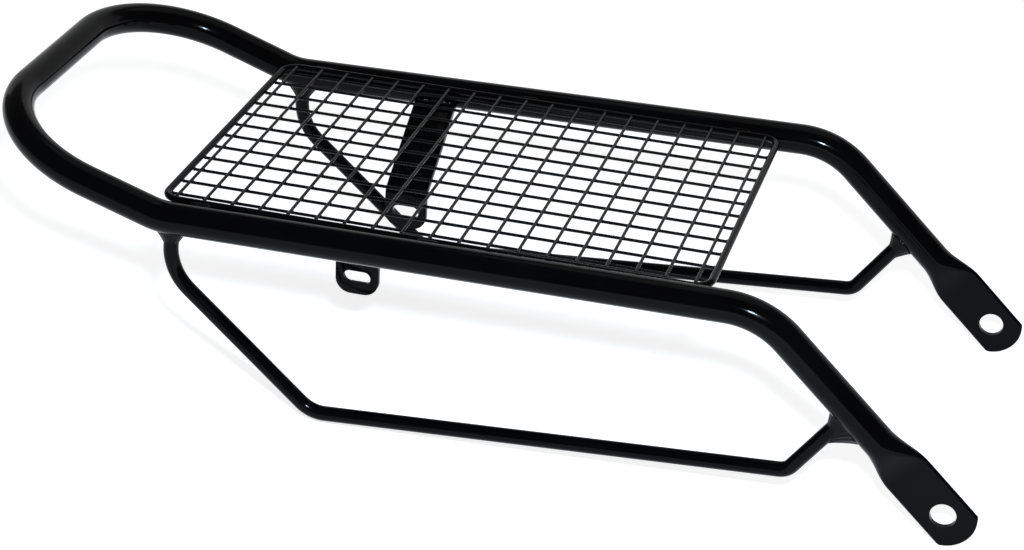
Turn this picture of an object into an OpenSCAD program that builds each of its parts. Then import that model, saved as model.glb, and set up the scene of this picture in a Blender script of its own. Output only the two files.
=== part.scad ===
// Motorcycle luggage rack: one bent main tube, a welded mesh deck, two side loops and two slotted lugs.
// X points forward to the mounting legs, Y to the left side and Z up.
// The origin lies midway between the two bolt holes of the legs.

/* [Main tube] */
// Outside diameter of the main tube
tube_d = 22.2; // [19:0.1:27]
// Distance from a bolt hole to the point where leg and rail would meet
leg_len = 180; // [150:1:230]
// Angle of the legs below the horizontal
leg_angle = 44; // [30:1:60]
// Radius of the bend between leg and rail
leg_bend_r = 58.8; // [40:0.1:80]
// Length of the rail between its two bend points
rail_len = 414.5; // [400:0.5:520]
// Angle at which the rails climb to the front
rail_rise = 0.82; // [0:0.01:3]
// Radius of the slight bend between rail and grab hoop
kink_bend_r = 49; // [35:1:80]
// Length of the grab hoop's side from the kink to its corner
hoop_len = 139.1; // [125:0.1:190]
// Angle of the grab hoop above the horizontal
hoop_tilt = 18.6; // [8:0.1:30]
// Radius of the grab hoop's two corners
hoop_bend_r = 82.4; // [60:0.1:100]
// Distance from the centre plane to the tube axis at the legs
leg_y = 136; // [125:0.5:160]
// Distance from the centre plane to the tube axis at the kink
kink_y = 131.8; // [125:0.1:160]
// Distance from the centre plane to the tube axis at the hoop's corner
hoop_y = 133.8; // [125:0.1:160]

/* [Flattened leg ends] */
// Thickness of the flattened tube
flat_t = 4.2; // [3:0.1:6]
// Width of the flattened tube
flat_w = 35; // [30:0.5:40]
// Fully flat length behind the bolt hole
flat_len = 36; // [26:1:50]
// Length over which the tube goes from round to flat
press_len = 30; // [20:1:45]
// Radius of the rounded tip around the bolt hole
tip_r = 22.5; // [18:0.5:28]
// Diameter of the bolt hole
bolt_hole_d = 17.5; // [8:0.1:20]

/* [Side loops] */
// Diameter of the loop rod
rod_d = 10.5; // [8:0.1:12]
// How far the loop lies inboard of the rail's axis
loop_inset = 2; // [0:0.1:3]
// Distance from the kink forward to the loop's upper rear end
loop_start = 8.5; // [8:0.1:30]
// How far the first bend lies behind the upper rear end
knee_back = 3.9; // [0:0.1:12]
// How far the first bend lies below the rail's axis
knee_drop = 40.5; // [38:0.1:60]
// Radius of the first bend
knee_r = 38.3; // [20:0.1:40]
// Forward run of the sloping rod down to the lower bar
slope_run = 103.3; // [80:0.1:130]
// Drop of the sloping rod down to the lower bar
slope_drop = 92; // [70:0.5:98]
// Radius of the two bends of the lower bar
bar_bend_r = 25.5; // [16:0.5:32]
// Distance along the leg from the loop's front end down to where the tube starts to flatten
press_clear = 26; // [16:1:40]
// Forward run of the rod from the lower bar up to the leg
riser_run = 38.2; // [25:0.1:50]
// Climb of the rod from the lower bar up to the leg
riser_rise = 52.9; // [40:0.1:65]

/* [Mesh deck] */
// Height of the deck's middle plane above the rail's axis, halfway along the deck
deck_lift = 6.3; // [3:0.1:9]
// Distance from the rail's front bend point back to the deck's front rim
deck_setback = 38.5; // [32:0.5:60]
// Distance from the kink back to the deck's rear rim
deck_overhang = 3; // [-40:0.5:3.5]
// Diameter of the deck's rim rod
rim_d = 5; // [4:0.1:7]
// Radius of the rim's corners
rim_corner_r = 12; // [8:0.5:20]
// Spacing of the mesh wires
mesh_pitch = 20; // [14:0.5:40]
// Diameter of the mesh wires
wire_d = 2.2; // [1.5:0.1:3]

/* [Mounting lugs] */
// Distance from the kink forward to the middle of the lugs
lug_ahead = 115; // [60:1:220]
// Distance from the centre plane to the middle of the lug's upright tab
lug_y = 55; // [35:1:80]
// Width of the lug's flat bar
lug_w = 31.5; // [26:0.5:40]
// Thickness of the lug's flat bar
lug_t = 4; // [3:0.1:6]
// Height of the rail's axis above the lug's bend
lug_drop = 49; // [35:0.5:60]
// Length of the upright tab below the bend
tab_len = 28.7; // [25:0.1:45]
// Inside radius of the lug's bend
lug_bend_r = 5; // [3:0.5:8]
// Radius of the tab's lower corners
tab_corner_r = 11; // [4:0.5:12.5]
// Distance from the lug's bend down to the middle of the slot
slot_drop = 15.5; // [14:0.1:17.5]
// Height of the slot
slot_h = 9.5; // [6:0.1:11]
// Length of the slot
slot_len = 20; // [12:0.5:22]

/* [Welds] */
// Clearance between pieces that are welded together
weld_gap = 0.3; // [0.2:0.05:0.4]
// Width of a weld bead around the ends of the loops, beyond the rod's radius
collar_w = 5.5; // [3:0.1:7]
// Length of a weld bead around the ends of the loops, measured along the rod
collar_len = 9; // [5:0.5:9]
// Radius of the beads along the lugs and the deck's rim
bead_r = 1.8; // [1.2:0.1:2.4]
// Length of a bead that holds the deck's rim to the rail
rim_bead_len = 16; // [8:1:24]
// Distance from the deck's front and rear rims to the middle of the outer beads
rim_bead_inset = 29.5; // [20:0.5:60]

/* [Finish] */
// Colour of the gloss paint on the tubes, rods and lugs
paint = "#101214"; // [#101214:Black, #8a8d90:Silver, #6d1414:Red]
// Colour of the painted mesh wires
wire_paint = "#1c1e20"; // [#1c1e20:Black, #8a8d90:Silver]

/* [Hidden] */
$fn = 64;

tube_r = tube_d / 2;
rod_r = rod_d / 2;
rim_r = rim_d / 2;
wire_r = wire_d / 2;

// Points where the straight runs of the main tube's left half would meet
bend_pt = [-leg_len * cos(leg_angle), leg_y, leg_len * sin(leg_angle)];
kink_pt = [bend_pt.x - rail_len * cos(rail_rise), kink_y, bend_pt.z - rail_len * sin(rail_rise)];
hoop_pt = [kink_pt.x - hoop_len * cos(hoop_tilt), hoop_y, kink_pt.z + hoop_len * sin(hoop_tilt)];
hole_pt = [0, leg_y, 0];
leg_dir = [cos(leg_angle), 0, -sin(leg_angle)];
press_start = hole_pt - (flat_len + press_len) * leg_dir;
tube_path = [[hoop_pt.x, 0, hoop_pt.z], hoop_pt, kink_pt, bend_pt, press_start];
tube_radii = [hoop_bend_r, kink_bend_r, leg_bend_r];

// Place of the rail's axis at a given x
function along(x) = (x - kink_pt.x) / (bend_pt.x - kink_pt.x);
function rail_at(x) = kink_pt + along(x) * (bend_pt - kink_pt);
rail_yaw = atan2(bend_pt.y - kink_pt.y, bend_pt.x - kink_pt.x);

// Side loop of the left side, which lies in one upright plane beside the rail
function loop_at(x, z) = [x, rail_at(x).y - loop_inset, z];
loop_top_x = kink_pt.x + loop_start;
loop_top = loop_at(loop_top_x, rail_at(loop_top_x).z);
loop_knee = loop_at(loop_top.x - knee_back, loop_top.z - knee_drop);
loop_low_rear = loop_at(loop_knee.x + slope_run, loop_knee.z - slope_drop);
leg_joint = bend_pt + (leg_len - flat_len - press_len - press_clear) * leg_dir;
loop_end = loop_at(leg_joint.x, leg_joint.z);
loop_low_front = loop_at(loop_end.x - riser_run, loop_end.z - riser_rise);
loop_path = [loop_top, loop_knee, loop_low_rear, loop_low_front, loop_end];
loop_radii = [knee_r, bar_bend_r, bar_bend_r];

// Deck: the rim rests against the inner shoulders of the two rails
deck_front = bend_pt.x - deck_setback;
deck_rear = kink_pt.x - deck_overhang;
deck_len = deck_front - deck_rear;
deck_x = (deck_front + deck_rear) / 2;
deck_z = rail_at(deck_x).z + deck_lift;
rim_reach = tube_r + rim_r + weld_gap;
function shoulder_y(x) = rail_at(x).y - sqrt(pow(rim_reach, 2) - pow(deck_z - rail_at(x).z, 2));
rim_slope = (shoulder_y(deck_front) - shoulder_y(deck_rear)) / deck_len;
function rim_y(x) = shoulder_y(deck_x) + rim_slope * (x - deck_x);
rim_path = [
    [deck_rear, 0, deck_z],
    [deck_rear, rim_y(deck_rear), deck_z],
    [deck_front, rim_y(deck_front), deck_z],
    [deck_front, 0, deck_z]
];
wire_stack = wire_r + weld_gap / 2;
cross_half = floor((deck_len / 2 - rim_d) / mesh_pitch);
cross_count = 2 * cross_half + 1;
long_half = floor((rim_y(deck_rear) - rim_d) / mesh_pitch + 0.5);
long_count = 2 * long_half;
function cross_x(i) = deck_x + (i - 1 - cross_half) * mesh_pitch;
function long_y(i) = (i - long_half - 0.5) * mesh_pitch;

// How much the rim's corner pulls in at a wire that reaches this far past the start of the corner
function corner_pull(past) = rim_corner_r - sqrt(pow(rim_corner_r, 2) - pow(max(0, past), 2));
function cross_reach(x) =
    rim_y(x) - rim_r - weld_gap - corner_pull(abs(x - deck_x) + wire_r - deck_len / 2 + rim_corner_r);
function long_reach(y) =
    deck_len / 2 - rim_r - weld_gap - corner_pull(abs(y) + wire_r - rim_y(deck_rear) + rim_corner_r);

// Lug of the left side: its arm points at the rail's axis
lug_x = kink_pt.x + lug_ahead;
lug_bend = [lug_x, lug_y, rail_at(lug_x).z - lug_drop];
lug_rail = rail_at(lug_x);
lug_arm_angle = atan2(lug_rail.z - lug_bend.z, lug_rail.y - lug_bend.y);
lug_path = [[lug_x, lug_y, lug_bend.z - tab_len - lug_t], lug_bend, lug_rail];

// A bend is a hair thinner than the straights that it joins, and runs this far into them
skin = 0.04;
bend_lap = 0.5;

// Numbered name of a wire
function numbered(name, i) = str(name, i < 10 ? "_0" : "_", i);

// Bending: each bend turns towards the local X axis, then the bar rolls on to the plane of its next bend
function unit(v) = v / norm(v);
function run_dir(path, k) = unit(path[k + 1] - path[k]);
function bend_angle(path, k) = acos(run_dir(path, k - 1) * run_dir(path, k));
function bend_normal(path, k) = unit(cross(run_dir(path, k - 1), run_dir(path, k)));
function bend_cut(path, radii, k) =
    k < 1 || k > len(radii) ? 0 : radii[k - 1] * tan(bend_angle(path, k) / 2);
function run_len(path, radii, k) =
    norm(path[k + 1] - path[k]) - bend_cut(path, radii, k) - bend_cut(path, radii, k + 1);
function roll_angle(path, k) =
    let (a = bend_normal(path, k), b = bend_normal(path, k + 1))
    atan2(cross(a, b) * run_dir(path, k), a * b);

// The first child is the section of the straights. The second is that of the bends, which end inside them.
module bent_run(path, radii, lap, k = 0) {
    length = run_len(path, radii, k);
    linear_extrude(length) children(0);
    if (k < len(radii)) {
        r = radii[k];
        turn = bend_angle(path, k + 1);
        extra = lap * 180 / (PI * r);
        translate([r, 0, length]) {
            rotate([90, 0, 180]) rotate([0, 0, -extra])
                rotate_extrude(angle = turn + 2 * extra) translate([r, 0]) children(1);
            rotate([0, turn, 0]) translate([-r, 0, 0])
                rotate([0, 0, k + 1 < len(radii) ? roll_angle(path, k + 1) : 0])
                    bent_run(path, radii, lap, k + 1) {
                        children(0);
                        children(1);
                    }
        }
    }
}

module bent_bar(path, radii, lap) {
    u = run_dir(path, 0);
    n = bend_normal(path, 1);
    v = cross(n, u);
    p = path[0];
    multmatrix([[v.x, n.x, u.x, p.x], [v.y, n.y, u.y, p.y], [v.z, n.z, u.z, p.z], [0, 0, 0, 1]])
        bent_run(path, radii, lap) {
            children(0);
            children(1);
        }
}

module bent_rod(path, radii, r) {
    bent_bar(path, radii, bend_lap) {
        circle(r);
        circle(r - skin);
    }
}

// Places its children with the local Z axis along a line from a to b
module aim(a, b) {
    d = b - a;
    translate(a) rotate([0, acos(d.z / norm(d)), atan2(d.y, d.x)]) children();
}

module both_sides() {
    children();
    mirror([0, 1, 0]) children();
}

// Straight cylinder along the rail or the leg, long enough to cut what meets it there
module rail_cutter(gap) {
    aim(kink_pt - 0.1 * (bend_pt - kink_pt), bend_pt) cylinder(h = 1.1 * rail_len, r = tube_r + gap);
}

module leg_cutter(gap) {
    aim(bend_pt, hole_pt) cylinder(h = leg_len, r = tube_r + gap);
}

// Flattened end: local Z runs down the leg, with the bolt hole at zero and the flat across local Y
module leg_frame() {
    translate(hole_pt) rotate([0, 90 + leg_angle, 0]) children();
}

// Sections that go from a circle to a flat oval, a hair smaller than the bars that they join
ring_points = 48;
ring_steps = 12;
join_depth = 1;
function ease(t) = t * t * (3 - 2 * t);
function oval(z, h, w) = [
    for (k = [0 : ring_points - 1])
        let (a = (k + 0.5) * 360 / ring_points)
            [sign(cos(a)) * (w - h) + h * cos(a), h * sin(a), z]
];
function pressed(z, t) = oval(
    z,
    tube_r - skin + (flat_t / 2 - tube_r) * ease(t),
    tube_r - skin + (flat_w / 2 - tube_r) * ease(t)
);

module round_to_flat() {
    start = -flat_len - press_len;
    rings = concat(
        [pressed(start - join_depth, 0)],
        [for (j = [0 : ring_steps]) pressed(start + press_len * j / ring_steps, j / ring_steps)],
        [pressed(-flat_len + join_depth, 1)]
    );
    last = len(rings) - 1;
    polyhedron(
        points = [for (ring = rings) each ring],
        faces = concat(
            [[for (k = [0 : ring_points - 1]) k]],
            [[for (k = [ring_points - 1 : -1 : 0]) last * ring_points + k]],
            [for (j = [0 : last - 1], k = [0 : ring_points - 1])
                let (a = j * ring_points + k, b = j * ring_points + (k + 1) % ring_points)
                    [a, a + ring_points, b + ring_points, b]]
        )
    );
}

module paddle() {
    intersection() {
        translate([0, 0, -flat_len]) linear_extrude(flat_len + tip_r) {
            square([flat_w - flat_t, flat_t], center = true);
            for (side = [-1, 1]) translate([side * (flat_w - flat_t) / 2, 0]) circle(flat_t / 2);
        }
        union() {
            rotate([90, 0, 0]) cylinder(h = 2 * flat_t, r = tip_r, center = true);
            translate([-flat_w, -flat_t, -2 * flat_len]) cube([2 * flat_w, 2 * flat_t, 2 * flat_len]);
        }
    }
}

module main_tube() {
    color(paint) difference() {
        both_sides() {
            bent_rod(tube_path, tube_radii, tube_r);
            leg_frame() {
                round_to_flat();
                paddle();
            }
        }
        rotate([90, 0, 0]) cylinder(h = 2 * (leg_y + flat_t), d = bolt_hole_d, center = true);
    }
}

module left_side_loop() {
    color(paint) difference() {
        bent_rod(loop_path, loop_radii, rod_r);
        rail_cutter(weld_gap);
        leg_cutter(weld_gap);
    }
}

module right_side_loop() {
    mirror([0, 1, 0]) left_side_loop();
}

module deck_rim() {
    color(paint) both_sides() bent_rod(rim_path, [rim_corner_r, rim_corner_r], rim_r);
}

module cross_wire(i) {
    x = cross_x(i);
    color(wire_paint) translate([x, 0, deck_z + wire_stack])
        rotate([90, 0, 0]) cylinder(h = 2 * cross_reach(x), r = wire_r, center = true);
}

module long_wire(i) {
    y = long_y(i);
    color(wire_paint) translate([deck_x, y, deck_z - wire_stack])
        rotate([0, 90, 0]) cylinder(h = 2 * long_reach(y), r = wire_r, center = true);
}

// Outline of the lug seen from the front of its tab, with zero at the bend
module lug_outline() {
    straight = tab_len - tab_corner_r;
    translate([-lug_w / 2, -straight]) square([lug_w, straight + 2 * lug_drop]);
    translate([tab_corner_r - lug_w / 2, -tab_len]) square([lug_w - 2 * tab_corner_r, tab_len]);
    for (side = [-1, 1]) translate([side * (lug_w / 2 - tab_corner_r), -straight]) circle(tab_corner_r);
}

module slot_outline() {
    square([slot_len - slot_h, slot_h], center = true);
    for (side = [-1, 1]) translate([side * (slot_len - slot_h) / 2, 0]) circle(slot_h / 2);
}

module left_lug() {
    // The bar is bent a little wide and then cut to its outline
    spare = 2;
    reach = leg_y + tube_d;
    color(paint) difference() {
        intersection() {
            bent_bar(lug_path, [lug_bend_r + lug_t / 2], bend_lap) {
                square([lug_t, lug_w + spare], center = true);
                square([lug_t - 2 * skin, lug_w + spare], center = true);
            }
            translate([lug_x, reach, lug_bend.z]) rotate([90, 0, 0]) linear_extrude(reach) lug_outline();
        }
        rail_cutter(weld_gap);
        translate([lug_x, lug_y + lug_t, lug_bend.z - slot_drop])
            rotate([90, 0, 0]) linear_extrude(2 * lug_t) slot_outline();
    }
}

module right_lug() {
    mirror([0, 1, 0]) left_lug();
}

// Ring of weld around the end of a rod: local Z runs along the rod towards the tube that it meets
module weld_collar(reach) {
    inner = rod_r + weld_gap;
    rotate_extrude() polygon([
        [inner, -collar_len], [inner + collar_w / 8, -collar_len], [inner + collar_w / 3, -collar_len / 3],
        [inner + collar_w, 0], [inner + collar_w, reach], [inner, reach]
    ]);
}

module loop_rear_welds() {
    up = loop_top - loop_knee;
    near = loop_top - tube_r * unit(up);
    color(paint) both_sides() difference() {
        aim(near, loop_top) weld_collar(tube_r / 2);
        rail_cutter(weld_gap);
    }
}

module loop_front_welds() {
    up = loop_end - loop_low_front;
    near = loop_end - tube_r * unit(up);
    color(paint) both_sides() difference() {
        aim(near, loop_end) weld_collar(tube_r / 2);
        leg_cutter(weld_gap);
    }
}

// Straight bead with tapered ends, centred on the origin along local Z
module bead(length) {
    tip = bead_r / 2;
    rotate_extrude() polygon([
        [0, -length / 2], [tip, -length / 2], [bead_r, -length / 2 + bead_r],
        [bead_r, length / 2 - bead_r], [tip, length / 2], [0, length / 2]
    ]);
}

module lug_welds() {
    // Each bead touches the arm's face and the tube, both at the weld clearance
    off = lug_t / 2 + bead_r + weld_gap;
    back = sqrt(pow(tube_r + bead_r + weld_gap, 2) - pow(off, 2));
    color(paint) both_sides() translate(lug_rail) rotate([lug_arm_angle, 0, 0])
        for (side = [-1, 1]) translate([0, -back, side * off])
            rotate([0, 90, rail_yaw]) bead(lug_w - 2 * bead_r);
}

module rim_welds() {
    // Each bead lies in the groove above the rim and the rail, clear of both
    to_rail = tube_r + bead_r + weld_gap;
    to_rim = rim_r + bead_r + weld_gap;
    color(paint) both_sides() for (k = [-1 : 1]) {
        x = deck_x + k * (deck_len / 2 - rim_bead_inset);
        rail = rail_at(x);
        rim = [x, rim_y(x), deck_z];
        span = norm([rim.y - rail.y, rim.z - rail.z]);
        s = (pow(to_rail, 2) - pow(to_rim, 2) + pow(span, 2)) / (2 * span);
        h = sqrt(pow(to_rail, 2) - pow(s, 2));
        d = [rim.y - rail.y, rim.z - rail.z] / span;
        translate([x, rail.y + s * d.x + h * d.y, rail.z + s * d.y - h * d.x])
            rotate([0, 90 - rail_rise / 2, rail_yaw]) bead(rim_bead_len);
    }
}

main_tube();
left_side_loop();
right_side_loop();
deck_rim();
for (i = [1 : cross_count]) cross_wire(i);
for (i = [1 : long_count]) long_wire(i);
left_lug();
right_lug();
loop_rear_welds();
loop_front_welds();
lug_welds();
rim_welds();
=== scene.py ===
"""Motorcycle luggage rack: gloss black tube frame with a welded mesh deck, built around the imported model."""
import math

import bmesh
import bpy
from bpy.props import FloatProperty, FloatVectorProperty, IntProperty, PointerProperty
from bpy.types import Operator, Panel, PropertyGroup
from mathutils import Matrix, Vector


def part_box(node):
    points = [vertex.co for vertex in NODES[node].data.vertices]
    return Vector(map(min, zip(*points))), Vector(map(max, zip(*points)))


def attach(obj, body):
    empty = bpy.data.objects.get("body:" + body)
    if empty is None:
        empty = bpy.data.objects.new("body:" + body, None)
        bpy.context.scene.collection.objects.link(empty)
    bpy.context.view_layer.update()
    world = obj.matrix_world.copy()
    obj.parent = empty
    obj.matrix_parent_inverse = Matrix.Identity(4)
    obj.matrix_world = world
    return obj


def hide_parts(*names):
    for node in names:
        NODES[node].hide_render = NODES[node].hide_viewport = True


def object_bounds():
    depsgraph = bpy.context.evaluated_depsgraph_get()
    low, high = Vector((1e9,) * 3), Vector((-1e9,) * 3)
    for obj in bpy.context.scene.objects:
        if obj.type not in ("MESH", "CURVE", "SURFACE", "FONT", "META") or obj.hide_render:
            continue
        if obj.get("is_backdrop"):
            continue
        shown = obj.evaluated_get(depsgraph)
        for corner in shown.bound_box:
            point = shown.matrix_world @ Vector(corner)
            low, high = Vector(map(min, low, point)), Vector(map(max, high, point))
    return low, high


bl_info = {
    "name": "Luggage Rack",
    "version": (1, 0, 0),
    "blender": (4, 5, 0),
    "location": "View3D > Sidebar > Rack",
    "description": "Builds a welded motorcycle luggage rack and the stage that it stands on",
    "category": "Object",
}

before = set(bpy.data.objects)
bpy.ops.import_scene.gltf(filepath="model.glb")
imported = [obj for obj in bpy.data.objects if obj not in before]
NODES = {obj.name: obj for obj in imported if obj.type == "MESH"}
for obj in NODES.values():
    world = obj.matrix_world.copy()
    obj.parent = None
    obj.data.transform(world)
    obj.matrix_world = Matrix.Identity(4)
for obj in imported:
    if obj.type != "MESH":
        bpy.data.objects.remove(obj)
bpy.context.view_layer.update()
CROSS_WIRES = sorted(name for name in NODES if name.startswith("cross_wire"))
LONG_WIRES = sorted(name for name in NODES if name.startswith("long_wire"))
X = Vector((1, 0, 0))
Y = Vector((0, 1, 0))
Z = Vector((0, 0, 1))

# Longest steps around a bend, in metres
TUBE_STEP = 0.003
ROD_STEP = 0.002
RIM_STEP = 0.001

# Vertices closer than this are joined, in metres: at the centre plane, and in a packed lug's mesh
PLANE_MERGE = 1e-5
LUG_MERGE = 2e-6

# Corners that turn by more than this are cut edges, which get a rounding
CUT_CORNER = math.radians(50)

# Shapes of the mesh's weld nuggets, in wire radii
CROSSING_NUGGET = (1.1, 1.1, 0.55)
CROSS_END_NUGGET = (1.35, 1, 1.3)
LONG_END_NUGGET = (1, 1.35, 1.3)


def length(name, default, description):
    """A size in metres that a user can change."""
    return FloatProperty(name=name, description=description, default=default, unit="LENGTH", precision=4)


def number(name, default, description, unit="NONE"):
    """A plain number or a power that a user can change."""
    return FloatProperty(name=name, description=description, default=default, unit=unit)


def triple(name, default, description, subtype="TRANSLATION", unit="LENGTH"):
    """A place or a tint that a user can change."""
    return FloatVectorProperty(
        name=name, description=description, default=default, size=3, subtype=subtype, unit=unit
    )


def angle(name, degrees, description):
    """An angle that a user can change."""
    return FloatProperty(name=name, description=description, default=math.radians(degrees), subtype="ANGLE")


def colour(name, default, description):
    """A colour that a user can change."""
    return FloatVectorProperty(
        name=name, description=description, default=default, size=4, subtype="COLOR", min=0, max=1
    )


class RackTube(PropertyGroup):
    """The bent main tube and its flattened ends"""

    diameter: length("Diameter", 0.0222, "Outside diameter of the main tube")
    leg_length: length("Leg length", 0.180, "From a bolt hole to the corner between leg and rail")
    leg_slope: angle("Leg slope", 44, "Angle of the legs below the horizontal")
    leg_bend: length("Leg bend", 0.0588, "Radius of the bend between leg and rail")
    rail_length: length("Rail length", 0.4145, "Length of the rail between its two corners")
    rail_rise: angle("Rail rise", 0.82, "Angle at which the rails climb to the front")
    kink_bend: length("Kink bend", 0.049, "Radius of the bend between rail and grab hoop")
    hoop_length: length("Hoop length", 0.1391, "From the kink to the hoop's corner")
    hoop_tilt: angle("Hoop tilt", 18.6, "Angle of the grab hoop above the horizontal")
    hoop_bend: length("Hoop bend", 0.0824, "Radius of the hoop's corners")
    leg_half: length("Half width at the legs", 0.136, "From the centre plane to the tube's axis")
    kink_half: length("Half width at the kink", 0.1318, "From the centre plane to the tube's axis")
    hoop_half: length("Half width at the hoop", 0.1338, "From the centre plane to the tube's axis")
    flat_thickness: length("Flat thickness", 0.0042, "Thickness of the flattened tube")
    flat_width: length("Flat width", 0.035, "Width of the flattened tube")
    flat_length: length("Flat length", 0.036, "Flat length behind the bolt hole")
    press_length: length("Press length", 0.030, "Length over which the tube goes from round to flat")
    tip_radius: length("Tip radius", 0.0225, "Radius of the tip around the bolt hole")
    tip_corner: length("Tip corner", 0.004, "Rounding where the tip meets the straight sides")
    hole_diameter: length("Hole diameter", 0.0175, "Diameter of the bolt hole")
    cut_edge: length("Cut edge", 0.0005, "Rounding of the tip's and the hole's edges")


class RackLoops(PropertyGroup):
    """The rod loops under the rails"""

    diameter: length("Rod diameter", 0.0105, "Diameter of the loop rod")
    inset: length("Inset", 0.002, "How far the loop lies inboard of the rail's axis")
    start: length("Start", 0.0085, "From the kink forward to the loop's upper rear end")
    knee_back: length("Knee back", 0.0039, "How far the first bend lies behind the upper end")
    knee_drop: length("Knee drop", 0.0405, "How far the first bend lies below the rail's axis")
    knee_bend: length("Knee bend", 0.0383, "Radius of the first bend")
    slope_run: length("Slope run", 0.1033, "Forward run of the sloping rod")
    slope_drop: length("Slope drop", 0.092, "Drop of the sloping rod")
    bar_bend: length("Bar bend", 0.0235, "Radius of the bend at the lower bar's rear end")
    riser_bend: length("Riser bend", 0.011, "Radius of the bend at the lower bar's front end")
    press_clear: length("Press clearance", 0.026, "From the loop's front end to the flattening of the leg")
    riser_run: length("Riser run", 0.0382, "Forward run of the rod up to the leg")
    riser_rise: length("Riser rise", 0.0529, "Climb of the rod up to the leg")


class RackDetail(PropertyGroup):
    """Rim, mesh, lugs, welds and the number of facets"""

    rim_diameter: length("Rim diameter", 0.005, "Diameter of the deck's rim rod")
    rim_corner: length("Rim corner", 0.012, "Radius of the rim's corners")
    wire_diameter: length("Wire diameter", 0.0022, "Diameter of the mesh wires")
    lug_thickness: length("Lug thickness", 0.004, "Thickness of the lug's flat bar")
    lug_edge: length("Lug edge", 0.0005, "Rounding of the lug's edges")
    lug_bend_drop: length("Lug bend drop", 0.049, "From the rail's axis down to the corner of the lug's bend")
    weld_gap: length("Weld gap", 0.0003, "Clearance that the packed model leaves at its welds")
    bead_radius: length("Bead radius", 0.0018, "Radius of the beads along the lugs and the rim")
    rim_bead_length: length("Rim bead length", 0.016, "Length of a bead between rail and rim")
    collar_height: length("Collar height", 0.0085, "How far the bead at a loop's end climbs up the rod")
    collar_width: length("Collar width", 0.006, "Width of that bead along the tube")
    collar_side: length("Collar side", 0.0032, "Width of that bead across the tube")
    web_width: length("Web width", 0.009, "Extra width of the bead below the right front joint")
    web_height: length("Web height", 0.0095, "Extra height of the bead below the right front joint")
    left_web: length("Left web", 0.0035, "Extra height of the bead below the left front joint")
    ripple: length("Ripple", 0.0021, "Distance between the ripples of a weld bead")
    tube_sides: IntProperty(name="Tube sides", description="Faces around the main tube", default=72)
    rod_sides: IntProperty(name="Rod sides", description="Faces around a rod", default=36)


class RackFinish(PropertyGroup):
    """Paint of the rack and colour of the floor"""

    paint: colour("Paint", (0.0004, 0.0004, 0.0006, 1), "Gloss black of the tubes, rods and lugs")
    paint_light: colour("Paint, light", (0.001, 0.0011, 0.0014, 1), "Lighter mottling of the gloss black")
    wire: colour("Wire paint", (0.001, 0.001, 0.0011, 1), "Black of the mesh wires")
    wire_light: colour("Wire paint, light", (0.003, 0.003, 0.0031, 1), "Lighter mottling of the wires")
    floor: colour("Floor", (0.86, 0.86, 0.86, 1), "Plain pale floor")


class RackStage(PropertyGroup):
    """Camera, lamps, floor and wall"""

    azimuth: angle("Azimuth", 14.76, "Camera's turn about the vertical")
    elevation: angle("Elevation", 27.75, "Camera's height above the horizon")
    roll: angle("Roll", 2.51, "Camera's turn about its own axis")
    distance: length("Distance", 1.805, "From the camera to the aim point")
    aim: triple("Aim", (-0.3244, -0.0270, 0.0623), "Point at the middle of the picture")
    lens: number("Lens", 90.49, "Focal length in millimetres")
    room_light: number("Room light", 0.18, "Strength of the dim room around the rack")
    floor_glow: number("Floor glow", 0.72, "Lift of the floor and the wall towards white")
    floor_half: length("Floor half width", 8, "From the rack to the floor's edge")
    wall_distance: length("Wall distance", 5.2, "From the centre plane to the wall behind the rack")
    wall_height: length("Wall height", 4.1, "Height of that wall")
    key_place: triple("Key lamp", (0.0998, -1.3312, 1.0264), "Place of the small lamp beside the camera")
    key_size: length("Key size", 0.15, "Diameter of the small lamp")
    key_power: number("Key power", 32, "Power of the small lamp in watts", unit="POWER")
    key_tint: triple("Key tint", (0.76, 0.85, 1), "Cool tint of the small lamp", subtype="COLOR", unit="NONE")
    soft_place: triple("Soft lamp", (0.3, 0.9, 2.2), "Place of the soft lamp from the aim point")
    soft_size: length("Soft size", 2, "Diameter of the soft lamp")
    soft_power: number("Soft power", 6, "Power of the soft lamp in watts", unit="POWER")


class Route:
    """Frames along a bar that runs straight between rounded corners, as a bending machine makes it."""

    least_steps = 3

    def __init__(self, corners, bends, step):
        self.frames = []
        runs = [(b - a).normalized() for a, b in zip(corners, corners[1:])]
        cuts = [0] + [r * math.tan(a.angle(b) / 2) for r, a, b in zip(bends, runs, runs[1:])] + [0]
        side = runs[0].cross(runs[1]).normalized()
        turn = Matrix((side.cross(runs[0]), side, runs[0])).transposed().to_4x4()
        place = corners[0].copy()
        self.frames.append(Matrix.Translation(place) @ turn)
        for k, run in enumerate(runs):
            place = place + run * ((corners[k + 1] - corners[k]).length - cuts[k] - cuts[k + 1])
            self.frames.append(Matrix.Translation(place) @ turn)
            if k == len(bends):
                break
            bend = run.angle(runs[k + 1])
            axis = run.cross(runs[k + 1]).normalized()
            centre = Matrix.Translation(place + axis.cross(run) * bends[k])
            steps = max(self.least_steps, math.ceil(bend * bends[k] / step))
            here = self.frames[-1]
            for i in range(1, steps + 1):
                spin = centre @ Matrix.Rotation(bend * i / steps, 4, axis) @ centre.inverted()
                self.frames.append(spin @ here)
            place = self.frames[-1].translation.copy()
            turn = self.frames[-1].to_3x3().to_4x4()

    def rolled(self, wanted):
        """The same frames, rolled about the bar so that the last one's X axis points at wanted."""
        last = self.frames[-1].to_3x3()
        roll = math.atan2(last.col[1].dot(wanted), last.col[0].dot(wanted))
        return [here @ Matrix.Rotation(roll, 4, "Z") for here in self.frames]


def round_outline(radius):
    """Section of a round bar."""
    return lambda i, c, s: Vector((radius * c, radius * s, 0))


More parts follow.
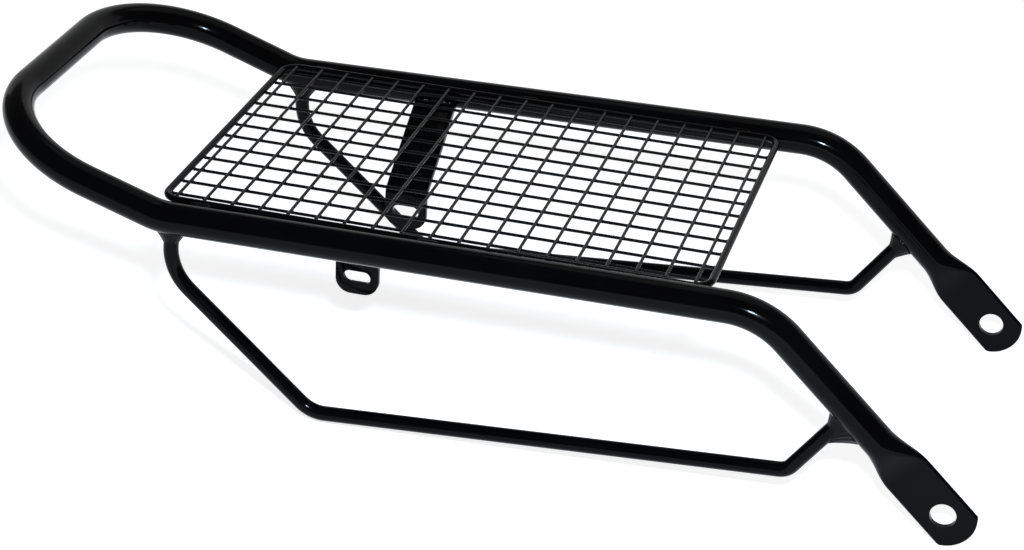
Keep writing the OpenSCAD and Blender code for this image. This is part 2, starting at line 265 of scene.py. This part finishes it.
def sweep(bm, frames, sides, outline, closed=False, start_cap=True, end_cap=True):
    """Carries a ring of vertices along the frames and gives each ring its outline."""
    half_step = Matrix.Rotation(math.pi / sides, 4, "Z")
    ring = bmesh.ops.create_circle(bm, segments=sides, radius=1, matrix=frames[0] @ half_step)["verts"]
    edges = list({edge for v in ring for edge in v.link_edges})
    rings = [ring]
    first_edges = edges
    for before, after in zip(frames, frames[1:]):
        made = bmesh.ops.extrude_edge_only(bm, edges=edges)["geom"]
        ring = [v for v in made if isinstance(v, bmesh.types.BMVert)]
        members = set(ring)
        edges = [e for e in made if isinstance(e, bmesh.types.BMEdge) and set(e.verts) <= members]
        bmesh.ops.transform(bm, matrix=after @ before.inverted(), verts=ring)
        rings.append(ring)
    for i, (here, ring) in enumerate(zip(frames, rings)):
        back = here.inverted()
        for v in ring:
            local = back @ v.co
            v.co = here @ outline(i, local.x, local.y)
    if closed:
        bmesh.ops.bridge_loops(bm, edges=first_edges + edges)
    else:
        if start_cap:
            bmesh.ops.contextual_create(bm, geom=first_edges)
        if end_cap:
            bmesh.ops.contextual_create(bm, geom=edges)


def mirrored(bm):
    """Adds the other half across the centre plane and joins the two."""
    bmesh.ops.mirror(bm, geom=bm.verts[:] + bm.edges[:] + bm.faces[:], axis="Y", merge_dist=PLANE_MERGE)


def middle(node):
    """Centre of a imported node's box."""
    low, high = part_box(node)
    return (low + high) / 2


def finished(name, bm, material, replaced=(), sharp=35):
    """Turns a bmesh into a piece on the rack's only body. Edges over sharp degrees stay crisp."""
    bmesh.ops.recalc_face_normals(bm, faces=bm.faces)
    mesh = bpy.data.meshes.new(name)
    bm.to_mesh(mesh)
    bm.free()
    mesh.shade_smooth()
    mesh.set_sharp_from_angle(angle=math.radians(sharp))
    mesh.materials.append(material)
    piece = bpy.data.objects.new(name, mesh)
    bpy.context.scene.collection.objects.link(piece)
    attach(piece, "root")
    if replaced:
        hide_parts(*replaced)
    return piece


def with_modifiers(piece):
    """Replaces a piece's mesh by what its modifiers make of it."""
    depsgraph = bpy.context.evaluated_depsgraph_get()
    mesh = bpy.data.meshes.new_from_object(piece.evaluated_get(depsgraph))
    piece.modifiers.clear()
    piece.data = mesh


def noise(nodes, links, place, scale, detail):
    """A noise texture in the object's own coordinates."""
    texture = nodes.new("ShaderNodeTexNoise")
    texture.inputs["Scale"].default_value = scale
    texture.inputs["Detail"].default_value = detail
    links.new(place, texture.inputs["Vector"])
    return texture.outputs["Fac"]


def ramp(nodes, links, value, low, high):
    """Maps a noise value from its middle range to low and high."""
    spread = nodes.new("ShaderNodeMapRange")
    ends = {"From Min": 0.35, "From Max": 0.65, "To Min": low, "To Max": high}
    for socket, end in ends.items():
        spread.inputs[socket].default_value = end
    links.new(value, spread.inputs["Value"])
    return spread.outputs["Result"]


def paint_material(name, dark, light, roughness, ior, peel_scale, peel_depth):
    """Black paint: faint mottling, uneven gloss and the fine waviness of a sprayed coat."""
    material = bpy.data.materials.new(name)
    material.use_nodes = True
    nodes = material.node_tree.nodes
    links = material.node_tree.links
    shader = nodes["Principled BSDF"]
    shader.inputs["IOR"].default_value = ior
    place = nodes.new("ShaderNodeTexCoord").outputs["Object"]
    mottling = nodes.new("ShaderNodeMix")
    mottling.data_type = "RGBA"
    mottling.inputs["A"].default_value = dark
    mottling.inputs["B"].default_value = light
    clouds = noise(nodes, links, place, scale=22, detail=3)
    links.new(ramp(nodes, links, clouds, 0, 1), mottling.inputs["Factor"])
    links.new(mottling.outputs["Result"], shader.inputs["Base Color"])
    haze = noise(nodes, links, place, scale=60, detail=4)
    gloss = ramp(nodes, links, haze, low=roughness * 0.8, high=roughness * 1.25)
    links.new(gloss, shader.inputs["Roughness"])
    peel = nodes.new("ShaderNodeBump")
    peel.inputs["Distance"].default_value = peel_depth
    peel.inputs["Strength"].default_value = 0.5
    links.new(noise(nodes, links, place, peel_scale, detail=2), peel.inputs["Height"])
    links.new(peel.outputs["Normal"], shader.inputs["Normal"])


def paints(scene):
    """Makes the rack's three paints once, and gives all materials by name."""
    finish = scene.rack_finish
    rod = {"dark": finish.paint, "light": finish.paint_light}
    wire = {"dark": finish.wire, "light": finish.wire_light}
    coats = {
        "gloss_black": {"roughness": 0.11, "ior": 1.16, "peel_scale": 500, "peel_depth": 0.00002, **rod},
        "weld_black": {"roughness": 0.17, "ior": 1.17, "peel_scale": 900, "peel_depth": 0.0002, **rod},
        "wire_black": {"roughness": 0.25, "ior": 1.19, "peel_scale": 700, "peel_depth": 0.0001, **wire},
    }
    for name, coat in coats.items():
        if name not in bpy.data.materials:
            paint_material(name, **coat)
    return bpy.data.materials


def rack_points(scene):
    """Corners of the left half of the main tube and of the left loop, from the driving sizes."""
    tube, loops = scene.rack_tube, scene.rack_loops
    leg = Vector((math.cos(tube.leg_slope), 0, -math.sin(tube.leg_slope)))
    hole = Vector((0, tube.leg_half, 0))
    bend = hole - tube.leg_length * leg
    kink = Vector((bend.x, tube.kink_half, bend.z))
    kink -= tube.rail_length * Vector((math.cos(tube.rail_rise), 0, math.sin(tube.rail_rise)))
    hoop = Vector((kink.x, tube.hoop_half, kink.z))
    hoop += tube.hoop_length * Vector((-math.cos(tube.hoop_tilt), 0, math.sin(tube.hoop_tilt)))

    def rail(x):
        return kink.lerp(bend, (x - kink.x) / (bend.x - kink.x))

    def beside(x, z):
        return Vector((x, rail(x).y - loops.inset, z))

    top = beside(kink.x + loops.start, rail(kink.x + loops.start).z)
    knee = beside(top.x - loops.knee_back, top.z - loops.knee_drop)
    low_rear = beside(knee.x + loops.slope_run, knee.z - loops.slope_drop)
    straight = tube.leg_length - tube.flat_length - tube.press_length
    joint = bend + (straight - loops.press_clear) * leg
    end = beside(joint.x, joint.z)
    low_front = beside(end.x - loops.riser_run, end.z - loops.riser_rise)
    return {
        "leg": leg, "hole": hole, "bend": bend, "kink": kink, "hoop": hoop, "rail": rail,
        "loop": [top, knee, low_rear, low_front, end],
    }


def smooth_step(t):
    """Eases from 0 to 1."""
    return t * t * (3 - 2 * t)


def tube_outline(tube, positions):
    """Section of the leg: round, then pressed to a flat oval between the press's two ends."""
    radius = tube.diameter / 2

    def outline(i, c, s):
        t = 0 if positions[i] is None else (positions[i] + tube.flat_length) / tube.press_length + 1
        pressed = smooth_step(min(max(t, 0), 1))
        thick = radius + (tube.flat_thickness / 2 - radius) * pressed
        wide = radius + (tube.flat_width / 2 - radius) * pressed
        return Vector((math.copysign(wide - thick, c) + thick * c, thick * s, 0))

    return outline


def tip_reach(tube, x, z):
    """Distance from the bolt hole's axis to the tip's outline in the direction of x and z."""
    half = tube.flat_width / 2
    centre = Vector((half - tube.tip_corner, 0))
    reach = tube.tip_radius - tube.tip_corner
    centre.y = math.sqrt(reach ** 2 - centre.x ** 2)
    turn = math.atan2(z, abs(x))
    if z < 0 or turn >= math.atan2(centre.y, centre.x):
        return tube.tip_radius
    if turn >= math.atan2(centre.y, half):
        aside = turn - math.atan2(centre.y, centre.x)
        return reach * math.cos(aside) + math.sqrt(tube.tip_corner ** 2 - (reach * math.sin(aside)) ** 2)
    return (half + tube.tip_corner) / math.cos(turn)


def leg_end_cutter(tube, leg_frame):
    """The bolt hole's drill and the shear that rounds the tip, as one mesh for both legs."""
    bm = bmesh.new()
    tip_sides, hole_sides = 160, 96
    reach = 4 * tube.flat_thickness
    inner, outer = tube.tip_radius, 2 * tube.tip_radius
    across = leg_frame @ Matrix.Rotation(math.pi / 2, 4, "X")
    rings = [
        bmesh.ops.create_circle(bm, segments=tip_sides, radius=radius, matrix=across)["verts"]
        for radius in (inner, outer)
    ]
    edges = list({edge for ring in rings for v in ring for edge in v.link_edges})
    faces = bmesh.ops.bridge_loops(bm, edges=edges)["faces"]
    for v in rings[0]:
        local = leg_frame.inverted() @ v.co
        v.co = leg_frame @ (local * (tip_reach(tube, local.x, local.z) / inner))
    bmesh.ops.translate(bm, verts=bm.verts, vec=-reach * Y)
    grown = bmesh.ops.extrude_face_region(bm, geom=faces)["geom"]
    bmesh.ops.translate(bm, verts=[v for v in grown if isinstance(v, bmesh.types.BMVert)], vec=2 * reach * Y)
    forward = leg_frame.to_3x3().col[2]
    shear_start = leg_frame.translation + 0.3 * tube.tip_radius * forward
    everything = bm.verts[:] + bm.edges[:] + bm.faces[:]
    bmesh.ops.bisect_plane(bm, geom=everything, plane_co=shear_start, plane_no=forward, clear_inner=True)
    bmesh.ops.holes_fill(bm, edges=[edge for edge in bm.edges if edge.is_boundary], sides=0)
    bmesh.ops.create_cone(
        bm, cap_ends=True, segments=hole_sides, depth=2 * reach, matrix=across,
        radius1=tube.hole_diameter / 2, radius2=tube.hole_diameter / 2,
    )
    mirrored(bm)
    bmesh.ops.recalc_face_normals(bm, faces=bm.faces)
    mesh = bpy.data.meshes.new("leg_end_cutter")
    bm.to_mesh(mesh)
    bm.free()
    cutter = bpy.data.objects.new("leg_end_cutter", mesh)
    bpy.context.scene.collection.objects.link(cutter)
    return cutter


class RACK_OT_main_tube(Operator):
    """Bend the main tube, press its ends flat, round and drill them"""

    bl_idname = "rack.main_tube"
    bl_label = "Main tube"
    press_steps = 24
    past_tip = 1.2

    def execute(self, context):
        scene = context.scene
        tube, detail = scene.rack_tube, scene.rack_detail
        points = rack_points(scene)
        press_start = points["hole"] - (tube.flat_length + tube.press_length) * points["leg"]
        rear = Vector((points["hoop"].x, 0, points["hoop"].z))
        route = Route(
            [rear, points["hoop"], points["kink"], points["bend"], press_start],
            [tube.hoop_bend, tube.kink_bend, tube.leg_bend], TUBE_STEP,
        )
        width_axis = Y.cross(points["leg"])
        leg_frame = Matrix((width_axis, Y, points["leg"])).transposed().to_4x4()
        leg_frame.translation = points["hole"]
        frames = route.rolled(width_axis)
        positions = [None] * len(frames)
        for i in range(1, self.press_steps + 1):
            positions.append(-tube.flat_length - tube.press_length * (1 - i / self.press_steps))
        positions += [-tube.flat_length / 2, 0, tube.tip_radius * self.past_tip]
        frames += [leg_frame @ Matrix.Translation(at * Z) for at in positions[len(frames):]]
        bm = bmesh.new()
        sweep(bm, frames, detail.tube_sides, tube_outline(tube, positions), start_cap=False)
        mirrored(bm)
        piece = finished(
            "bent_tube", bm, paints(scene)["gloss_black"], ["main_tube"], sharp=30
        )
        cutter = leg_end_cutter(tube, leg_frame)
        cut = piece.modifiers.new("Leg ends", "BOOLEAN")
        cut.operation = "DIFFERENCE"
        cut.solver = "EXACT"
        cut.object = cutter
        edge = piece.modifiers.new("Edges", "BEVEL")
        edge.limit_method = "ANGLE"
        edge.angle_limit = CUT_CORNER
        edge.width = tube.cut_edge
        edge.segments = 2
        flat = piece.modifiers.new("Flats", "WEIGHTED_NORMAL")
        flat.keep_sharp = True
        with_modifiers(piece)
        bpy.data.objects.remove(cutter)
        return {"FINISHED"}


class RACK_OT_side_loops(Operator):
    """Bend the two rods that hang below the rails"""

    bl_idname = "rack.side_loops"
    bl_label = "Side loops"

    def execute(self, context):
        scene = context.scene
        loops, detail = scene.rack_loops, scene.rack_detail
        bends = [loops.knee_bend, loops.bar_bend, loops.riser_bend]
        for side, node in ((1, "left_side_loop"), (-1, "right_side_loop")):
            corners = [Vector((p.x, side * p.y, p.z)) for p in rack_points(scene)["loop"]]
            bm = bmesh.new()
            frames = Route(corners, bends, ROD_STEP).frames
            sweep(bm, frames, detail.rod_sides, round_outline(loops.diameter / 2))
            finished(node.replace("_side", "_rod"), bm, paints(scene)["gloss_black"], [node])
        return {"FINISHED"}


class RACK_OT_deck_rim(Operator):
    """Bend the rod around the mesh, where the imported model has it"""

    bl_idname = "rack.deck_rim"
    bl_label = "Deck rim"

    def execute(self, context):
        scene = context.scene
        detail = scene.rack_detail
        radius = detail.rim_diameter / 2
        low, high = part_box("deck_rim")
        height = middle("deck_rim").z
        rear, front = (Vector((x, rim_half(detail, x), height)) for x in (low.x + radius, high.x - radius))
        corners = [Vector((rear.x, 0, height)), rear, front, Vector((front.x, 0, height))]
        bm = bmesh.new()
        frames = Route(corners, [detail.rim_corner] * 2, RIM_STEP).frames
        sweep(bm, frames, detail.rod_sides, round_outline(radius), start_cap=False, end_cap=False)
        mirrored(bm)
        finished("deck_rim_rod", bm, paints(scene)["gloss_black"], ["deck_rim"])
        return {"FINISHED"}


def rim_half(detail, x):
    """Half width of the rim at x, read from the reach of two wires away from the corners."""
    rear, front = (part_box(CROSS_WIRES[k]) for k in (2, -3))
    reach = rear[1].y + (front[1].y - rear[1].y) * (x - rear[0].x) / (front[0].x - rear[0].x)
    return reach + detail.weld_gap + detail.rim_diameter / 2


class RACK_OT_mesh_wires(Operator):
    """Paint the mesh wires and add the weld nuggets at their crossings and ends"""

    bl_idname = "rack.mesh_wires"
    bl_label = "Mesh wires"

    def execute(self, context):
        scene = context.scene
        detail = scene.rack_detail
        paint = paints(scene)["wire_black"]
        for name in CROSS_WIRES + LONG_WIRES:
            mesh = NODES[name].data
            mesh.materials.clear()
            mesh.materials.append(paint)
        bm = bmesh.new()
        radius = detail.wire_diameter / 2
        height = middle("deck_rim").z
        for across in CROSS_WIRES:
            x = middle(across).x
            for along in LONG_WIRES:
                nugget(bm, (x, middle(along).y, height), radius, CROSSING_NUGGET)
            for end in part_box(across):
                nugget(bm, (x, end.y, height + radius), radius, CROSS_END_NUGGET)
        for along in LONG_WIRES:
            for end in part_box(along):
                nugget(bm, (end.x, middle(along).y, height - radius), radius, LONG_END_NUGGET)
        finished("mesh_weld_nuggets", bm, paint)
        return {"FINISHED"}


def nugget(bm, place, radius, shape):
    """A small flattened blob of weld."""
    blob = Matrix.Translation(place) @ Matrix.Diagonal([radius * share for share in shape] + [1])
    bmesh.ops.create_uvsphere(bm, u_segments=8, v_segments=5, radius=1, matrix=blob)


class RACK_OT_lugs(Operator):
    """Round the edges of the slotted lugs"""

    bl_idname = "rack.lugs"
    bl_label = "Lugs"

    def execute(self, context):
        scene = context.scene
        paint = paints(scene)["gloss_black"]
        for node in ("left_lug", "right_lug"):
            bm = bmesh.new()
            bm.from_mesh(NODES[node].data)
            bmesh.ops.remove_doubles(bm, verts=bm.verts, dist=LUG_MERGE)
            bmesh.ops.dissolve_limit(bm, angle_limit=math.radians(1), verts=bm.verts, edges=bm.edges)
            edges = [e for e in bm.edges if len(e.link_faces) == 2 and e.calc_face_angle() > CUT_CORNER]
            bmesh.ops.bevel(
                bm, geom=edges, offset=scene.rack_detail.lug_edge, segments=3, profile=0.5,
                affect="EDGES", material=-1, clamp_overlap=True,
            )
            finished(node.replace("_lug", "_slotted_lug"), bm, paint, [node])
        return {"FINISHED"}


def rippled(depth, ripples, t):
    """Share of its full size that a rippled bead has at the share t of its length."""
    return 1 - depth * (0.5 + 0.5 * math.cos(2 * math.pi * ripples * t))


def bead_outline(count, radius, ripples, depth):
    """Section of a straight weld bead, which swells with each ripple and fades at its blunt ends."""
    bluntness, thinnest = 6, 0.02

    def outline(i, c, s):
        t = i / (count - 1)
        ends = math.sqrt(max(thinnest, 1 - (2 * abs(t - 0.5)) ** bluntness))
        size = radius * rippled(depth, ripples, t) * ends
        return Vector((size * c, size * s, 0))

    return outline


def straight_bead(bm, start, end, detail, radius):
    """A short bead along a straight seam."""
    count, sides = 49, 14
    run = end - start
    turn = run.to_track_quat("Z", "Y").to_matrix().to_4x4()
    frames = [Matrix.Translation(start + run * (i / (count - 1))) @ turn for i in range(count)]
    ripples = round(run.length / detail.ripple)
    sweep(bm, frames, sides, bead_outline(count, radius, ripples, depth=0.16))


def fillet_outline(legs, ripples, depth):
    """Section of a fillet weld: its two legs change around the joint, and its face is slightly hollow."""
    hollow = 2.2

    def outline(i, c, s):
        high, wide = legs[i]
        swell = rippled(depth, ripples, i / len(legs))
        up = math.copysign(abs(c) ** hollow, c) * high * swell
        return Vector((up, math.copysign(abs(s) ** hollow, s) * wide * swell, 0))

    return outline


def collar_bead(bm, rod_run, end, bar_run, radii, detail, web_width=0, web_height=0):
    """A fillet weld around a rod's end, along the curve in which the rod meets the tube."""
    tube_radius, rod_radius = radii
    side = rod_run.cross(bar_run).normalized()
    other = side.cross(rod_run)
    across = rod_run - rod_run.dot(bar_run) * bar_run
    sunk = 0.1 * detail.collar_side
    reach = tube_radius - sunk
    count, sides = 168, 26
    seam, legs = [], []
    for i in range(count):
        turn = 2 * math.pi * i / count
        out = math.cos(turn) * side + math.sin(turn) * other
        offset = rod_radius * out
        offset -= offset.dot(bar_run) * bar_run
        half = across.dot(offset) / across.length_squared
        back = half + math.sqrt(half ** 2 - (offset.length_squared - reach ** 2) / across.length_squared)
        seam.append(end + rod_radius * out - back * rod_run)
        along = out.dot(bar_run)
        wide = detail.collar_side + (detail.collar_width - detail.collar_side) * along ** 2
        below = max(0, along) ** 2
        legs.append((detail.collar_height + web_height * below, wide + web_width * below))
    frames = []
    for i, place in enumerate(seam):
        run = (seam[(i + 1) % count] - seam[i - 1]).normalized()
        normal = place - end
        normal = (normal - normal.dot(bar_run) * bar_run).normalized()
        turn = Matrix((-rod_run, normal.cross(run), run)).transposed().to_4x4()
        frames.append(Matrix.Translation(place) @ turn)
    ripples = round(2 * math.pi * (rod_radius + detail.collar_side) / detail.ripple)
    sweep(bm, frames, sides, fillet_outline(legs, ripples, depth=0.07), closed=True)


class RACK_OT_welds(Operator):
    """Lay the weld beads around the loops' ends, along the lugs and along the deck's rim"""

    bl_idname = "rack.welds"
    bl_label = "Welds"

    def execute(self, context):
        scene = context.scene
        tube, loops, detail = scene.rack_tube, scene.rack_loops, scene.rack_detail
        paint = paints(scene)["weld_black"]
        points = rack_points(scene)
        radii = (tube.diameter / 2, loops.diameter / 2)
        rail_run = (points["bend"] - points["kink"]).normalized()
        loop = points["loop"]
        bm = bmesh.new()
        collar_bead(bm, (loop[0] - loop[1]).normalized(), loop[0], rail_run, radii, detail)
        mirrored(bm)
        finished("rear_loop_beads", bm, paint, ["loop_rear_welds"])
        bm = bmesh.new()
        riser = (loop[4] - loop[3]).normalized()
        for side, web in ((1, (0, detail.left_web)), (-1, (detail.web_width, detail.web_height))):
            end = Vector((loop[4].x, side * loop[4].y, loop[4].z))
            collar_bead(bm, riser, end, points["leg"], radii, detail, *web)
        finished("front_loop_beads", bm, paint, ["loop_front_welds"])
        self.lug_beads(scene, points, rail_run, paint)
        self.rim_beads(scene, points, rail_run, paint)
        return {"FINISHED"}

    def lug_beads(self, scene, points, rail_run, paint):
        """Beads above and below each lug's arm, where it meets the rail."""
        tube, detail = scene.rack_tube, scene.rack_detail
        low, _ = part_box("left_lug")
        rail = points["rail"](middle("left_lug").x)
        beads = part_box("lug_welds")
        arm = Vector((0, rail.y - (low.y + detail.lug_thickness / 2), detail.lug_bend_drop)).normalized()
        normal = X.cross(arm)
        stand_off = 0.5 * detail.bead_radius
        off = detail.lug_thickness / 2 + stand_off
        back = math.sqrt((tube.diameter / 2 + stand_off) ** 2 - off ** 2)
        half = (beads[1].x - beads[0].x) / 2 * rail_run
        fat = 1.2 * detail.bead_radius
        bm = bmesh.new()
        for sign in (-1, 1):
            place = rail - back * arm + sign * off * normal
            straight_bead(bm, place - half, place + half, detail, fat)
        mirrored(bm)
        finished("lug_beads", bm, paint, ["lug_welds"])

    def rim_beads(self, scene, points, rail_run, paint):
        """Beads in the groove between the rail and the deck's rim."""
        tube, detail = scene.rack_tube, scene.rack_detail
        deck = middle("deck_rim")
        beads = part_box("rim_welds")
        pitch = (beads[1].x - beads[0].x - detail.rim_bead_length) / 2
        half = detail.rim_bead_length / 2 * rail_run
        stand_off = 0.4 * detail.bead_radius
        to_rail = tube.diameter / 2 + stand_off
        to_rim = detail.rim_diameter / 2 + stand_off
        bm = bmesh.new()
        for k in (-1, 0, 1):
            x = deck.x + k * pitch
            rail = points["rail"](x)
            rim = Vector((x, rim_half(detail, x), deck.z))
            gap = rim - rail
            span = gap.length
            along = (to_rail ** 2 - to_rim ** 2 + span ** 2) / (2 * span)
            up = math.sqrt(to_rail ** 2 - along ** 2)
            place = rail + gap / span * along - X.cross(gap / span) * up
            straight_bead(bm, place - half, place + half, detail, detail.bead_radius)
        mirrored(bm)
        finished("rim_beads", bm, paint, ["rim_welds"])


class RACK_OT_stage(Operator):
    """Add the pale floor and wall, the dim room, the lamps and the camera"""

    bl_idname = "rack.stage"
    bl_label = "Stage"

    def execute(self, context):
        scene = context.scene
        self.add_floor(scene)
        self.add_world(scene)
        self.add_lamps(scene)
        self.add_camera(scene)
        scene.view_settings.view_transform = "Standard"
        return {"FINISHED"}

    def add_floor(self, scene):
        """A plain floor at the height that the rack stands on, and a wall behind it."""
        stage = scene.rack_stage
        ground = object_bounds()[0][2]
        half = stage.floor_half
        foot = Vector((0, stage.wall_distance, ground))
        upright = Matrix.Translation(foot) @ Matrix.Rotation(math.pi / 2, 4, "X")
        material = self.pale_material(scene)
        sheets = (
            ("floor", Matrix.Translation(ground * Z), -half, half),
            ("backdrop", upright, 0, stage.wall_height),
        )
        for name, place, low, high in sheets:
            bm = bmesh.new()
            grid = bmesh.ops.create_grid(bm, x_segments=1, y_segments=1, size=half)["verts"]
            for v in grid:
                v.co.y = high if v.co.y > 0 else low
            bmesh.ops.transform(bm, matrix=place, verts=grid)
            mesh = bpy.data.meshes.new(name)
            bm.to_mesh(mesh)
            bm.free()
            mesh.materials.append(material)
            sheet = bpy.data.objects.new(name, mesh)
            scene.collection.objects.link(sheet)
            sheet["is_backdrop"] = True

    def pale_material(self, scene):
        """Plain pale paper that shows as white."""
        material = bpy.data.materials.new("pale_paper")
        material.use_nodes = True
        nodes = material.node_tree.nodes
        links = material.node_tree.links
        shader = nodes["Principled BSDF"]
        shader.inputs["Base Color"].default_value = scene.rack_finish.floor
        shader.inputs["Roughness"].default_value = 0.9
        shader.inputs["Specular IOR Level"].default_value = 0
        shader.inputs["Emission Color"].default_value = (1, 1, 1, 1)
        rays = nodes.new("ShaderNodeLightPath")
        shown = rays.outputs["Is Camera Ray"]
        for kind in ("Is Glossy Ray", "Is Transmission Ray"):
            either = nodes.new("ShaderNodeMath")
            either.operation = "MAXIMUM"
            links.new(shown, either.inputs[0])
            links.new(rays.outputs[kind], either.inputs[1])
            shown = either.outputs["Value"]
        lift = nodes.new("ShaderNodeMath")
        lift.operation = "MULTIPLY"
        lift.inputs[1].default_value = scene.rack_stage.floor_glow
        links.new(shown, lift.inputs[0])
        links.new(lift.outputs["Value"], shader.inputs["Emission Strength"])
        return material

    def add_world(self, scene):
        """A plain dim room."""
        world = bpy.data.worlds.new("studio")
        scene.world = world
        world.use_nodes = True
        back = world.node_tree.nodes["Background"]
        back.inputs["Color"].default_value = (1, 1, 1, 1)
        back.inputs["Strength"].default_value = scene.rack_stage.room_light

    def add_lamps(self, scene):
        """One small lamp beside the camera for the sparkle on the bends, and a large soft one overhead."""
        stage = scene.rack_stage
        aim = Vector(stage.aim)
        lamps = (
            ("key_lamp", Vector(stage.key_place), stage.key_size, stage.key_power, stage.key_tint),
            ("top_softbox", aim + Vector(stage.soft_place), stage.soft_size, stage.soft_power, (1, 1, 1)),
        )
        for name, place, size, power, tint in lamps:
            data = bpy.data.lights.new(name, "AREA")
            data.shape = "DISK"
            data.size = size
            data.energy = power
            data.color = tint
            lamp = bpy.data.objects.new(name, data)
            lamp.location = place
            lamp.rotation_euler = (place - aim).to_track_quat("Z", "Y").to_euler()
            scene.collection.objects.link(lamp)

    def add_camera(self, scene):
        """The camera at the photograph's viewpoint."""
        stage = scene.rack_stage
        data = bpy.data.cameras.new("photo_view")
        data.lens = stage.lens
        data.sensor_width = 36
        data.sensor_fit = "HORIZONTAL"
        data.clip_end = 50
        turn = Matrix.Rotation(stage.azimuth, 4, "Z") @ Matrix.Rotation(math.pi / 2 - stage.elevation, 4, "X")
        turn = turn @ Matrix.Rotation(stage.roll, 4, "Z")
        camera = bpy.data.objects.new("photo_view", data)
        camera.matrix_world = Matrix.Translation(stage.aim) @ turn @ Matrix.Translation(stage.distance * Z)
        scene.collection.objects.link(camera)
        scene.camera = camera


STEPS = (
    RACK_OT_main_tube, RACK_OT_side_loops, RACK_OT_deck_rim, RACK_OT_mesh_wires, RACK_OT_lugs, RACK_OT_welds,
    RACK_OT_stage,
)
GROUPS = {
    "rack_tube": RackTube, "rack_loops": RackLoops, "rack_detail": RackDetail,
    "rack_finish": RackFinish, "rack_stage": RackStage,
}


class RACK_PT_panel(Panel):
    """Lists the rack's steps and sizes"""

    bl_idname = "RACK_PT_panel"
    bl_label = "Luggage rack"
    bl_space_type = "VIEW_3D"
    bl_region_type = "UI"
    bl_category = "Rack"

    def draw(self, context):
        for step in STEPS:
            self.layout.operator(step.bl_idname)
        for group, kind in GROUPS.items():
            box = self.layout.box()
            for key in kind.__annotations__:
                box.prop(getattr(context.scene, group), key)


def register():
    """Makes the sizes, the steps and the panel known to Blender."""
    for kind in GROUPS.values():
        bpy.utils.register_class(kind)
    for step in STEPS:
        bpy.utils.register_class(step)
    bpy.utils.register_class(RACK_PT_panel)
    for group, kind in GROUPS.items():
        setattr(bpy.types.Scene, group, PointerProperty(type=kind))


def unregister():
    """Takes them away again."""
    for group in GROUPS:
        delattr(bpy.types.Scene, group)
    bpy.utils.unregister_class(RACK_PT_panel)
    for kind in reversed(STEPS + tuple(GROUPS.values())):
        bpy.utils.unregister_class(kind)


def main():
    """Builds the rack and its stage."""
    register()
    bpy.ops.rack.main_tube()
    bpy.ops.rack.side_loops()
    bpy.ops.rack.deck_rim()
    bpy.ops.rack.mesh_wires()
    bpy.ops.rack.lugs()
    bpy.ops.rack.welds()
    bpy.ops.rack.stage()


if __name__ == "__main__":
    main()
